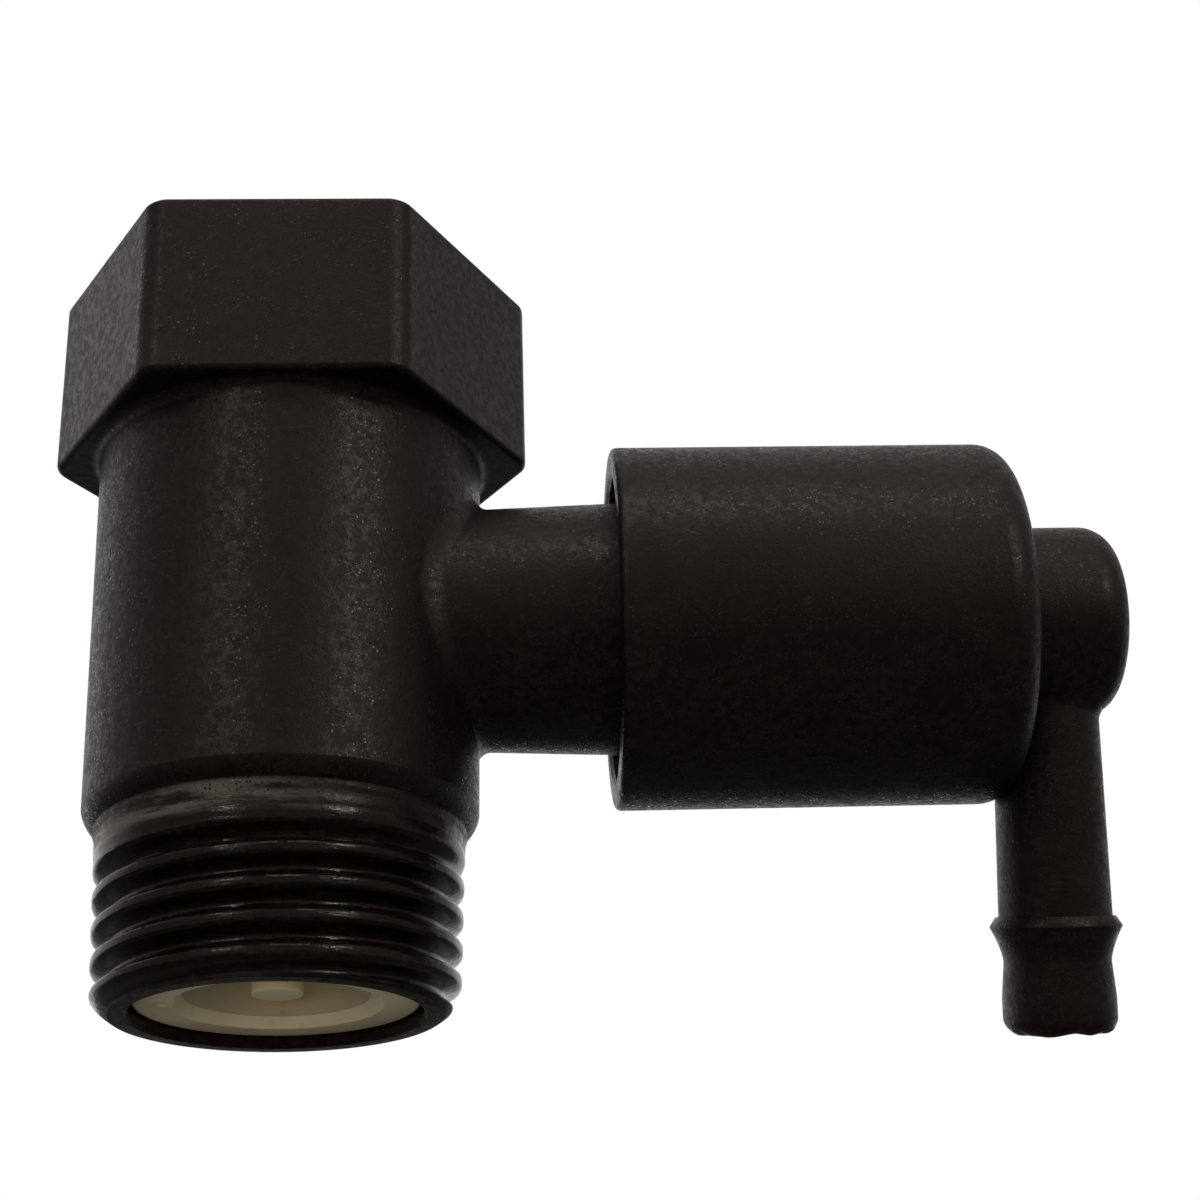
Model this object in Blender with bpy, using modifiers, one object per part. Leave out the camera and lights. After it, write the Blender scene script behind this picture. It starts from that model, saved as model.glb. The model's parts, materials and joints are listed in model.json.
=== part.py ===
"""Non-return valve with a spring-loaded relief branch: moulded body, check cartridge, swivelling outlet."""

from math import ceil, cos, hypot, pi, radians, sin, sqrt

import bmesh
import bpy
from mathutils import Matrix

MM = 0.001

# Gap kept between pieces that seat on each other
SEAT_GAP = 0.3 * MM

# Inlet end with its right-hand taper pipe thread
INLET_BORE_RADIUS = 8.18 * MM
INLET_END_LAND = 1.08 * MM
THREAD_CREST_RADIUS = 10.2 * MM
THREAD_TAPER = 1 / 32
THREAD_PITCH = 1.814 * MM
THREAD_DEPTH = 0.95 * MM
THREAD_CREST_WIDTH = 0.36 * MM
THREAD_FIRST_CREST = -0.147 * MM
THREAD_LENGTH = 8.9 * MM
THREAD_START_LENGTH = 0.75 * MM
RUNOUT_DEPTH = 0.15 * MM
RUNOUT_LENGTH = 0.2 * MM
SHOULDER_CONE_LENGTH = 1.1 * MM

# Body between the thread and the hexagon
BODY_RADIUS = 11.44 * MM
BODY_DRAFT = 0.0106
BODY_TOP = 34.0 * MM
BODY_BORE_RADIUS = 7.0 * MM
HEX_ACROSS_FLATS = 25.4 * MM
HEX_HEIGHT = 11.5 * MM
HEX_CORNER_ROUND = 1.2 * MM
HEX_EDGE_ROUND = 0.35 * MM
HEX_COVE = 0.7 * MM
SOCKET_RADIUS = 9.2 * MM
SOCKET_DEPTH = 14.0 * MM
SOCKET_CHAMFER = 1.6 * MM

# Branch that carries the relief valve
BRANCH_HEIGHT = 23.04 * MM
NECK_RADIUS = 7.3 * MM
NECK_DRAFT = 0.034
NECK_FILLET = 1.0 * MM
RELIEF_PORT_RADIUS = 2.5 * MM
RELIEF_LIP_HEIGHT = 0.7 * MM
RELIEF_LIP_WIDTH = 1.0 * MM
HEAD_LENGTH = 6.4 * MM
HEAD_EDGE_ROUND = 0.4 * MM

# Outlet cap, its hub and its hose tail
CAP_START = 19.4 * MM
CAP_LENGTH = 23.8 * MM
CAP_RADIUS = 10.9 * MM
CAP_WALL = 1.7 * MM
CAP_END_WALL = 2.0 * MM
CAP_END_ROUND = 2.0 * MM
CAP_RIM_ROUND = 0.45 * MM
HUB_RADIUS = 5.8 * MM
HUB_LENGTH = 6.6 * MM
HUB_ROUND = 2.05 * MM
HUB_BORE_RADIUS = 2.2 * MM
TAIL_OFFSET = 2.34 * MM
TAIL_RADIUS = 3.16 * MM
TAIL_SWELL = 0.19 * MM
TAIL_LENGTH = 24.45 * MM
TAIL_BORE_RADIUS = 1.9 * MM
TAIL_TIP_ROUND = 0.9 * MM
BARB_RADIUS = 3.89 * MM
BARB_FROM_TIP = 6.5 * MM
BARB_TAPER_LENGTH = 2.35 * MM
BARB_HOLLOW = 1.6
BARB_EDGE = 0.1 * MM
OUTLET_TURN = radians(15.8)

# Snap ring that keeps the cap on the neck
RING_LIP = 0.7 * MM
RING_THICKNESS = 1.2 * MM
RING_GROOVE_DEPTH = 0.7 * MM
RING_SPLIT = 3.0 * MM

# Rubber rings, by the radius of their round section
CAP_SEAL_SECTION = 0.8 * MM
CARTRIDGE_SEAL_SECTION = 0.42 * MM

# Relief valve
RELIEF_WASHER_RADIUS = 4.6 * MM
RELIEF_WASHER_THICKNESS = 1.5 * MM
PISTON_RIM = 1.0 * MM
PISTON_HEAD = 1.2 * MM
PISTON_STEM_RADIUS = 2.2 * MM
PISTON_STEM_LENGTH = 4.3 * MM
WING_COUNT = 4
WING_WIDTH = 1.2 * MM
WING_LENGTH = 5.0 * MM
RELIEF_WIRE_RADIUS = 0.55 * MM
RELIEF_SPRING_RADIUS = 4.3 * MM
RELIEF_SPRING_TURNS = 4.0
THRUST_WASHER_THICKNESS = 0.6 * MM
THRUST_WASHER_RADIUS = 6.4 * MM

# Check cartridge in the inlet bore
CARTRIDGE_RECESS = 0.65 * MM
SEAT_RING_HEIGHT = 4.25 * MM
SEAT_BORE_RADIUS = 5.2 * MM
SEAT_LIP_LEVEL = 2.75 * MM
SEAT_LIP_HEIGHT = 0.2 * MM
SEAT_LIP_WIDTH = 0.5 * MM
SEAT_RING_EDGE = 0.2 * MM
CAGE_WALL = 0.8 * MM
DISH_RADIUS = 5.9 * MM
DISH_DEPTH = 2.2 * MM
BOSS_RADIUS = 1.46 * MM
BOSS_TIP = 0.58 * MM
CHECK_WASHER_THICKNESS = 0.8 * MM
CHECK_WASHER_WIDTH = 2.1 * MM
POPPET_FLANGE = 0.8 * MM
POPPET_STEM_RADIUS = 1.3 * MM
POPPET_STEM_LENGTH = 9.4 * MM
POPPET_EDGE = 0.15 * MM
GUIDE_HEIGHT = 8.5 * MM
SPIDER_THICKNESS = 1.2 * MM
SPIDER_ARMS = 4
SPIDER_ARM_WIDTH = 1.5 * MM
GUIDE_HUB_WALL = 1.0 * MM
CHECK_WIRE_RADIUS = 0.25 * MM
CHECK_SPRING_RADIUS = 3.3 * MM
CHECK_SPRING_TURNS = 4.5

# Facets round the turned shapes and the branch, along and round wire, and over rounded edges
LARGE_STEPS = 48
BRANCH_STEPS = 36
SMALL_STEPS = 28
WIRE_POINTS_PER_TURN = 12
RUBBER_RING_SIDES = 8
ROUND_STEPS = 4
SMOOTH_ANGLE = radians(32)

# How far cutters run past a face, joined shapes into each other, and what counts as one point
CUT_PAST = 1.0 * MM
OVERLAP = 0.06 * MM
MERGE = 0.001 * MM

# Places that follow from the sizes above
THREAD_TOP_RADIUS = THREAD_CREST_RADIUS + THREAD_TAPER * THREAD_LENGTH
THREAD_CORE = THREAD_CREST_RADIUS - THREAD_DEPTH - OVERLAP
BODY_START = THREAD_LENGTH + RUNOUT_LENGTH + SHOULDER_CONE_LENGTH
HEX_TOP = BODY_TOP + HEX_HEIGHT
CAP_BORE_RADIUS = CAP_RADIUS - CAP_WALL
CAP_END = CAP_START + CAP_LENGTH
CAP_BORE_END = CAP_END - CAP_END_WALL
RING_START = CAP_START + RING_LIP + SEAT_GAP
HEAD_START = RING_START + RING_THICKNESS + SEAT_GAP
HEAD_RADIUS = CAP_BORE_RADIUS - SEAT_GAP
HEAD_END = HEAD_START + HEAD_LENGTH
RELIEF_LIP_END = HEAD_END + RELIEF_LIP_HEIGHT
CAP_SEAL_GROOVE = HEAD_RADIUS - 2 * CAP_SEAL_SECTION - SEAT_GAP
RELIEF_WASHER_START = RELIEF_LIP_END + SEAT_GAP
PISTON_RECESS_FLOOR = RELIEF_WASHER_START + RELIEF_WASHER_THICKNESS + SEAT_GAP
PISTON_RADIUS = RELIEF_WASHER_RADIUS + SEAT_GAP + PISTON_RIM
PISTON_BACK = PISTON_RECESS_FLOOR + PISTON_HEAD
THRUST_WASHER_START = CAP_BORE_END - SEAT_GAP - THRUST_WASHER_THICKNESS
CARTRIDGE_RADIUS = INLET_BORE_RADIUS - SEAT_GAP
CARTRIDGE_SEAL_GROOVE = CARTRIDGE_RADIUS - 2 * CARTRIDGE_SEAL_SECTION - SEAT_GAP
SEAT_RING_TOP = CARTRIDGE_RECESS + SEAT_RING_HEIGHT
SEAT_LIP_TOP = CARTRIDGE_RECESS + SEAT_LIP_LEVEL
GUIDE_START = SEAT_RING_TOP + SEAT_GAP
GUIDE_TOP = GUIDE_START + GUIDE_HEIGHT
SPIDER_START = GUIDE_TOP - SPIDER_THICKNESS
INLET_BORE_DEPTH = GUIDE_TOP + SEAT_GAP
CAGE_BORE_RADIUS = CARTRIDGE_RADIUS - CAGE_WALL
CHECK_WASHER_START = SEAT_LIP_TOP + SEAT_GAP
POPPET_FLANGE_START = CHECK_WASHER_START + CHECK_WASHER_THICKNESS + SEAT_GAP
POPPET_FLANGE_TOP = POPPET_FLANGE_START + POPPET_FLANGE
POPPET_NOSE_RADIUS = SEAT_BORE_RADIUS - SEAT_GAP
CHECK_WASHER_OUTER = SEAT_BORE_RADIUS + 2 * SEAT_LIP_WIDTH
CHECK_WASHER_INNER = CHECK_WASHER_OUTER - CHECK_WASHER_WIDTH


def clear_scene():
    for obj in list(bpy.data.objects):
        bpy.data.objects.remove(obj)
    for collection in list(bpy.data.collections):
        bpy.data.collections.remove(collection)


def new_collection(name):
    collection = bpy.data.collections.new(name)
    bpy.context.scene.collection.children.link(collection)
    return collection


def new_axis(name, location=(0, 0, 0), rotation=(0, 0, 0), parent=None):
    """An empty whose local Z is a joint's axis."""
    empty = bpy.data.objects.new(name, None)
    empty.empty_display_size = 10 * MM
    empty.location = location
    empty.rotation_euler = rotation
    empty.parent = parent
    PARTS.objects.link(empty)
    return empty


def new_material(name, color, roughness, metallic=0.0):
    material = bpy.data.materials.new(name)
    material.use_nodes = True
    shader = material.node_tree.nodes["Principled BSDF"]
    shader.inputs["Base Color"].default_value = (*color, 1)
    shader.inputs["Roughness"].default_value = roughness
    shader.inputs["Metallic"].default_value = metallic
    return material


def place(mesh, name, axis, cutter=False):
    """A new object of this mesh under the axis, or a hidden cutter."""
    obj = bpy.data.objects.new(name, mesh)
    obj.parent = axis
    if cutter:
        obj.hide_render = True
        obj.display_type = "WIRE"
        CUTTERS.objects.link(obj)
    else:
        PARTS.objects.link(obj)
    return obj


def turned(name, profile, axis, steps=SMALL_STEPS, cutter=False):
    """Turns (radius, height) points about local Z. They run down the outer side; on a ring they close."""
    mesh = bpy.data.meshes.new(name)
    ring = profile[0][0] > 0
    count = len(profile)
    edges = [(i, (i + 1) % count) for i in range(count if ring else count - 1)]
    mesh.from_pydata([(r, 0, z) for r, z in profile], edges, [])
    obj = place(mesh, name, axis, cutter)
    screw = obj.modifiers.new("turn", "SCREW")
    screw.steps = screw.render_steps = steps
    screw.use_merge_vertices = True
    screw.merge_threshold = MERGE
    return obj


def corner(center, radius, start, end, steps=ROUND_STEPS):
    """Points of an arc about center, from the start angle to the end angle in degrees."""
    angles = [radians(start + (end - start) * i / steps) for i in range(steps + 1)]
    return [(center[0] + radius * cos(a), center[1] + radius * sin(a)) for a in angles]


def block(name, low, high, axis, cutter=True):
    """A box between two corners."""
    mesh = bpy.data.meshes.new(name)
    shape = bmesh.new()
    size = [h - s for s, h in zip(low, high)]
    middle = [(h + s) / 2 for s, h in zip(low, high)]
    matrix = Matrix.Translation(middle) @ Matrix.Diagonal((*size, 1))
    bmesh.ops.create_cube(shape, size=1, matrix=matrix)
    shape.to_mesh(mesh)
    shape.free()
    return place(mesh, name, axis, cutter)


def combine(obj, other, operation):
    boolean = obj.modifiers.new(f"{operation.lower()} {other.name}", "BOOLEAN")
    boolean.operation = operation
    boolean.object = other
    return obj


def finish(obj, material):
    """Keeps the modelled shape as one mesh, smooth across its round faces."""
    bpy.context.view_layer.update()
    graph = bpy.context.evaluated_depsgraph_get()
    mesh = bpy.data.meshes.new_from_object(obj.evaluated_get(graph))
    mesh.name = obj.name
    obj.modifiers.clear()
    obj.data = mesh
    mesh.materials.clear()
    mesh.materials.append(material)
    mesh.shade_smooth()
    mesh.set_sharp_from_angle(angle=SMOOTH_ANGLE)
    return obj


def wound(name, radius, wire, start, end, turns, axis, material):
    """A compression spring whose first and last turns lie closed."""
    closed_pitch = 2.12 * wire
    low = start + wire
    rise = end - wire - low
    middle = turns - 2
    count = round(turns * WIRE_POINTS_PER_TURN)
    curve = bpy.data.curves.new(name, "CURVE")
    curve.dimensions = "3D"
    curve.bevel_depth = wire
    curve.bevel_resolution = 2
    curve.use_fill_caps = True
    spline = curve.splines.new("POLY")
    spline.points.add(count)
    for i, point in enumerate(spline.points):
        turn = turns * i / count
        if turn < 1:
            height = closed_pitch * turn
        elif turn > turns - 1:
            height = rise - closed_pitch * (turns - turn)
        else:
            height = closed_pitch + (rise - 2 * closed_pitch) * (turn - 1) / middle
        angle = 2 * pi * turn
        point.co = (radius * cos(angle), radius * sin(angle), low + height, 1)
    curve.materials.append(material)
    return place(curve, name, axis)


def flat_ring(name, inner, outer, start, thickness, axis, material):
    profile = [(outer, start + thickness), (outer, start), (inner, start), (inner, start + thickness)]
    return finish(turned(name, profile, axis), material)


def rubber_ring(name, groove_radius, section, middle, axis, material):
    """A round-section ring seated in a groove."""
    center = groove_radius + SEAT_GAP + section
    profile = corner((center, middle), section, 180, -180, RUBBER_RING_SIDES)[:-1]
    return finish(turned(name, profile, axis), material)


def groove(section, middle):
    """The lower and upper edge of the groove for a rubber ring."""
    return middle - section - SEAT_GAP, middle + section + SEAT_GAP


def body_radius(height):
    return BODY_RADIUS + BODY_DRAFT * (height - BRANCH_HEIGHT)


def neck_radius(reach):
    return NECK_RADIUS + NECK_DRAFT * max(reach - BODY_RADIUS, 0)


def dish_level(radius):
    """Height of the dished face that the seat ring and the poppet share."""
    sphere = (DISH_RADIUS**2 + DISH_DEPTH**2) / (2 * DISH_DEPTH)
    return CARTRIDGE_RECESS + DISH_DEPTH - sphere + sqrt(sphere**2 - radius**2)


def body_blank():
    """Drafted body with the cove under the hexagon, and the shoulder cone down to the thread's core."""
    runout = THREAD_TOP_RADIUS - RUNOUT_DEPTH
    slope = (body_radius(BODY_START) - runout) / SHOULDER_CONE_LENGTH
    cone_foot = THREAD_LENGTH + RUNOUT_LENGTH - (runout - THREAD_CORE) / slope
    cove = (body_radius(BODY_TOP) + HEX_COVE, BODY_TOP - HEX_COVE)
    inside_hex = BODY_TOP + HEX_HEIGHT / 2
    return [
        (0, inside_hex),
        (cove[0], inside_hex),
        *corner(cove, HEX_COVE, 90, 180),
        (body_radius(BODY_START), BODY_START),
        (THREAD_CORE, cone_foot),
        (0, cone_foot),
    ]


def threaded_rod(axis):
    """Tapered rod with the inlet thread, from its chamfered end face to inside the shoulder."""
    half_crest = THREAD_CREST_WIDTH / 2
    root = THREAD_CREST_RADIUS - THREAD_DEPTH
    # Spare turns at both ends, so that the ragged ends of the helix are cut off or buried
    turns_below = 2.5
    turns = ceil(THREAD_LENGTH / THREAD_PITCH) + 3
    low = THREAD_FIRST_CREST - turns_below * THREAD_PITCH
    profile = [(0, low)]
    for i in range(turns):
        crest = low + (i + 0.5) * THREAD_PITCH
        profile.append((root, crest - THREAD_PITCH / 2))
        profile.append((THREAD_CREST_RADIUS, crest - half_crest))
        profile.append((THREAD_CREST_RADIUS, crest + half_crest))
    high = low + turns * THREAD_PITCH
    profile += [(root, high), (0, high)]
    shape = bmesh.new()
    verts = [shape.verts.new((r, 0, z)) for r, z in profile]
    edges = [shape.edges.new(pair) for pair in zip(verts, verts[1:])]
    bmesh.ops.spin(
        shape, geom=verts + edges, axis=(0, 0, 1), cent=(0, 0, 0), angle=2 * pi, steps=LARGE_STEPS,
        dvec=(0, 0, THREAD_PITCH / LARGE_STEPS)
    )
    bmesh.ops.remove_doubles(shape, verts=shape.verts, dist=MERGE)
    whole = shape.verts[:] + shape.edges[:] + shape.faces[:]
    bmesh.ops.bisect_plane(shape, geom=whole, plane_co=(0, 0, 0), plane_no=(0, 0, 1), clear_inner=True)
    bmesh.ops.holes_fill(shape, edges=[e for e in shape.edges if e.is_boundary])
    bmesh.ops.recalc_face_normals(shape, faces=shape.faces)
    land = INLET_BORE_RADIUS + INLET_END_LAND
    for vert in shape.verts:
        wide = hypot(vert.co.x, vert.co.y)
        chamfer = land + (THREAD_CREST_RADIUS - land) * vert.co.z / THREAD_START_LENGTH
        if wide > 0:
            share = min(1 + THREAD_TAPER * vert.co.z / THREAD_CREST_RADIUS, chamfer / wide)
            vert.co.x *= share
            vert.co.y *= share
    bmesh.ops.triangulate(shape, faces=shape.faces, quad_method="FIXED")
    mesh = bpy.data.meshes.new("threaded_rod")
    shape.to_mesh(mesh)
    shape.free()
    return place(mesh, "threaded_rod", axis, cutter=True)


def hexagon(axis):
    """Wrench hexagon with its flats facing local Y."""
    mesh = bpy.data.meshes.new("hexagon")
    shape = bmesh.new()
    reach = HEX_ACROSS_FLATS / sqrt(3)
    matrix = Matrix.Translation((0, 0, BODY_TOP + HEX_HEIGHT / 2)) @ Matrix.Rotation(pi / 6, 4, "Z")
    bmesh.ops.create_cone(
        shape, cap_ends=True, segments=6, radius1=reach, radius2=reach, depth=HEX_HEIGHT, matrix=matrix
    )
    upright = [e for e in shape.edges if abs(e.verts[0].co.z - e.verts[1].co.z) > HEX_HEIGHT / 2]
    bmesh.ops.bevel(
        shape, geom=upright, offset=HEX_CORNER_ROUND * sqrt(1 / 3), segments=ROUND_STEPS,
        profile=0.5, affect="EDGES"
    )
    rims = [e for e in shape.edges if abs(e.verts[0].co.z - e.verts[1].co.z) < HEX_EDGE_ROUND / 10]
    bmesh.ops.bevel(
        shape, geom=rims, offset=HEX_EDGE_ROUND, segments=2, profile=0.5, affect="EDGES"
    )
    shape.to_mesh(mesh)
    shape.free()
    return place(mesh, "hexagon", axis, cutter=True)


def branch_ring(shape, radius, reach, saddle, steps):
    """One ring of the branch, flat at its reach or lifted by it from the round body."""
    verts = []
    for i in range(steps):
        angle = 2 * pi * i / steps
        across = radius * cos(angle)
        height = BRANCH_HEIGHT + radius * sin(angle)
        along = reach
        if saddle:
            along += sqrt(body_radius(height) ** 2 - across**2)
        verts.append(shape.verts.new((along, across, height)))
    return verts


def branch(axis):
    """Neck that flows out of the round body, and the head inside the cap."""
    seal_low, seal_high = groove(CAP_SEAL_SECTION, cap_seal_middle())
    lip_inner = RELIEF_PORT_RADIUS
    lip_outer = lip_inner + RELIEF_LIP_WIDTH
    rings = [(NECK_RADIUS + NECK_FILLET, BODY_BORE_RADIUS / 2, False)]
    for i in range(ROUND_STEPS + 1):
        turn = pi / 2 * i / ROUND_STEPS
        radius = NECK_RADIUS + NECK_FILLET * (1 - sin(turn))
        rings.append((radius, NECK_FILLET * (1 - cos(turn)) - OVERLAP, True))
    rings += [
        (neck_radius(HEAD_START), HEAD_START, False),
        (HEAD_RADIUS - HEAD_EDGE_ROUND, HEAD_START, False),
        (HEAD_RADIUS, HEAD_START + HEAD_EDGE_ROUND, False),
        (HEAD_RADIUS, seal_low, False),
        (CAP_SEAL_GROOVE, seal_low, False),
        (CAP_SEAL_GROOVE, seal_high, False),
        (HEAD_RADIUS, seal_high, False),
        (HEAD_RADIUS, HEAD_END - HEAD_EDGE_ROUND, False),
        (HEAD_RADIUS - HEAD_EDGE_ROUND, HEAD_END, False),
        (lip_outer, HEAD_END, False),
        (lip_outer - RELIEF_LIP_WIDTH / 4, RELIEF_LIP_END, False),
        (lip_inner, RELIEF_LIP_END, False),
    ]
    mesh = bpy.data.meshes.new("branch")
    shape = bmesh.new()
    loops = [branch_ring(shape, *ring, BRANCH_STEPS) for ring in rings]
    for low, high in zip(loops, loops[1:]):
        for i in range(BRANCH_STEPS):
            j = (i + 1) % BRANCH_STEPS
            shape.faces.new((low[i], low[j], high[j], high[i]))
    shape.faces.new(loops[0][::-1])
    shape.faces.new(loops[-1])
    bmesh.ops.recalc_face_normals(shape, faces=shape.faces)
    shape.to_mesh(mesh)
    shape.free()
    return place(mesh, "branch", axis, cutter=True)


def valve_body(axis):
    body = turned("valve_body", body_blank(), axis, LARGE_STEPS)
    combine(body, threaded_rod(axis), "UNION")
    combine(body, hexagon(axis), "UNION")
    combine(body, branch(axis), "UNION")
    socket_floor = HEX_TOP - SOCKET_DEPTH
    socket_end = SOCKET_RADIUS - THREAD_TAPER * SOCKET_DEPTH
    mouth = SOCKET_RADIUS + SOCKET_CHAMFER
    waterway = [
        (0, HEX_TOP + CUT_PAST),
        (mouth + CUT_PAST, HEX_TOP + CUT_PAST),
        (mouth, HEX_TOP),
        (SOCKET_RADIUS, HEX_TOP - SOCKET_CHAMFER),
        (socket_end, socket_floor),
        (BODY_BORE_RADIUS, socket_floor - (socket_end - BODY_BORE_RADIUS)),
        (BODY_BORE_RADIUS, INLET_BORE_DEPTH),
        (INLET_BORE_RADIUS, INLET_BORE_DEPTH),
        (INLET_BORE_RADIUS, -CUT_PAST),
        (0, -CUT_PAST),
    ]
    combine(body, turned("waterway", waterway, axis, LARGE_STEPS, cutter=True), "DIFFERENCE")
    port = [
        (0, RELIEF_LIP_END + CUT_PAST),
        (RELIEF_PORT_RADIUS, RELIEF_LIP_END + CUT_PAST),
        (RELIEF_PORT_RADIUS, BODY_BORE_RADIUS / 2),
        (0, BODY_BORE_RADIUS / 2),
    ]
    combine(body, turned("relief_port", port, BRANCH_AXIS, cutter=True), "DIFFERENCE")
    return finish(body, BLACK_NYLON)


def cap_seal_middle():
    return HEAD_START + HEAD_LENGTH / 2


def cartridge_seal_middle():
    return CARTRIDGE_RECESS + SEAT_RING_EDGE + 2 * SEAT_GAP + CARTRIDGE_SEAL_SECTION


def check_seat_ring(axis):
    """Ring whose dished mouth faces the inlet and whose raised lip takes the check washer."""
    seal_low, seal_high = groove(CARTRIDGE_SEAL_SECTION, cartridge_seal_middle())
    lip_inner = SEAT_BORE_RADIUS + SEAT_LIP_WIDTH / 2
    lip_outer = lip_inner + SEAT_LIP_WIDTH
    floor = SEAT_LIP_TOP - SEAT_LIP_HEIGHT
    dish = [DISH_RADIUS + (SEAT_BORE_RADIUS - DISH_RADIUS) * i / 2 for i in range(3)]
    profile = [
        (CARTRIDGE_RADIUS, SEAT_RING_TOP),
        (CARTRIDGE_RADIUS, seal_high),
        (CARTRIDGE_SEAL_GROOVE, seal_high),
        (CARTRIDGE_SEAL_GROOVE, seal_low),
        (CARTRIDGE_RADIUS, seal_low),
        (CARTRIDGE_RADIUS, CARTRIDGE_RECESS + SEAT_RING_EDGE),
        (CARTRIDGE_RADIUS - SEAT_RING_EDGE, CARTRIDGE_RECESS),
        *((r, dish_level(r)) for r in dish),
        (SEAT_BORE_RADIUS, SEAT_LIP_TOP - SEAT_LIP_WIDTH / 2),
        (lip_inner, SEAT_LIP_TOP),
        (lip_outer, SEAT_LIP_TOP),
        (lip_outer + SEAT_LIP_HEIGHT, floor),
        (CAGE_BORE_RADIUS, floor),
        (CAGE_BORE_RADIUS, SEAT_RING_TOP),
    ]
    return finish(turned("check_seat_ring", profile, axis), IVORY_ACETAL)


def cartridge_o_ring(axis):
    return rubber_ring(
        "cartridge_o_ring", CARTRIDGE_SEAL_GROOVE, CARTRIDGE_SEAL_SECTION, cartridge_seal_middle(),
        axis, BLACK_RUBBER
    )


def check_poppet(axis):
    """Dished nose with its centre boss, flange above the washer, and the guided stem."""
    neck = CHECK_WASHER_INNER - SEAT_GAP
    tip = CARTRIDGE_RECESS + BOSS_TIP
    stem_top = POPPET_FLANGE_TOP + POPPET_STEM_LENGTH
    inner = BOSS_RADIUS + POPPET_EDGE
    dish = [POPPET_NOSE_RADIUS + (inner - POPPET_NOSE_RADIUS) * i / 6 for i in range(7)]
    profile = [
        (0, stem_top),
        (POPPET_STEM_RADIUS - 2 * POPPET_EDGE, stem_top),
        (POPPET_STEM_RADIUS, stem_top - 2 * POPPET_EDGE),
        (POPPET_STEM_RADIUS, POPPET_FLANGE_TOP),
        (CHECK_WASHER_OUTER, POPPET_FLANGE_TOP),
        (CHECK_WASHER_OUTER, POPPET_FLANGE_START),
        (neck, POPPET_FLANGE_START),
        (neck, SEAT_LIP_TOP),
        (POPPET_NOSE_RADIUS, SEAT_LIP_TOP),
        *((r, dish_level(r)) for r in dish),
        (BOSS_RADIUS, dish_level(BOSS_RADIUS) - POPPET_EDGE),
        (BOSS_RADIUS, tip + POPPET_EDGE),
        (BOSS_RADIUS - POPPET_EDGE, tip),
        (0, tip),
    ]
    return finish(turned("check_poppet", profile, axis), IVORY_ACETAL)


def check_washer(axis):
    return flat_ring(
        "check_washer", CHECK_WASHER_INNER, CHECK_WASHER_OUTER, CHECK_WASHER_START,
        CHECK_WASHER_THICKNESS, axis, BLACK_RUBBER
    )


def check_spring(axis):
    return wound(
        "check_spring", CHECK_SPRING_RADIUS, CHECK_WIRE_RADIUS, POPPET_FLANGE_TOP + SEAT_GAP,
        SPIDER_START - SEAT_GAP, CHECK_SPRING_TURNS, axis, SPRING_STEEL
    )


def check_guide(axis):
    """Cage that stands on the seat ring, with a spider that guides the stem and holds the spring."""
    shell = [
        (CARTRIDGE_RADIUS, GUIDE_TOP - SEAT_RING_EDGE),
        (CARTRIDGE_RADIUS, GUIDE_START),
        (CAGE_BORE_RADIUS, GUIDE_START),
        (CAGE_BORE_RADIUS, GUIDE_TOP),
        (CARTRIDGE_RADIUS - SEAT_RING_EDGE, GUIDE_TOP),
    ]
    guide = turned("check_guide", shell, axis)
    hub_bore = POPPET_STEM_RADIUS + SEAT_GAP
    hub_radius = hub_bore + GUIDE_HUB_WALL
    rooted = CAGE_WALL / 2
    for i in range(SPIDER_ARMS):
        low = (hub_bore + rooted, -SPIDER_ARM_WIDTH / 2, SPIDER_START)
        high = (CAGE_BORE_RADIUS + rooted, SPIDER_ARM_WIDTH / 2, GUIDE_TOP - SEAT_RING_EDGE)
        arm = block(f"spider_arm_{i + 1}", low, high, axis)
        arm.rotation_euler.z = 2 * pi * (i + 0.5) / SPIDER_ARMS
        combine(guide, arm, "UNION")
    hub = [
        (hub_radius, GUIDE_TOP),
        (hub_radius, SPIDER_START - SEAT_GAP),
        (hub_bore, SPIDER_START - SEAT_GAP),
        (hub_bore, GUIDE_TOP),
    ]
    combine(guide, turned("spider_hub", hub, axis, cutter=True), "UNION")
    return finish(guide, IVORY_ACETAL)


def cap_o_ring(axis):
    return rubber_ring(
        "cap_o_ring", CAP_SEAL_GROOVE, CAP_SEAL_SECTION, cap_seal_middle(), axis, BLACK_RUBBER
    )


def relief_washer(axis):
    back = RELIEF_WASHER_START + RELIEF_WASHER_THICKNESS
    profile = [
        (0, back),
        (RELIEF_WASHER_RADIUS, back),
        (RELIEF_WASHER_RADIUS, RELIEF_WASHER_START),
        (0, RELIEF_WASHER_START),
    ]
    return finish(turned("relief_washer", profile, axis), BLACK_RUBBER)


def relief_spring(axis):
    return wound(
        "relief_spring", RELIEF_SPRING_RADIUS, RELIEF_WIRE_RADIUS, PISTON_BACK + SEAT_GAP,
        THRUST_WASHER_START - SEAT_GAP, RELIEF_SPRING_TURNS, axis, SPRING_STEEL
    )


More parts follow.
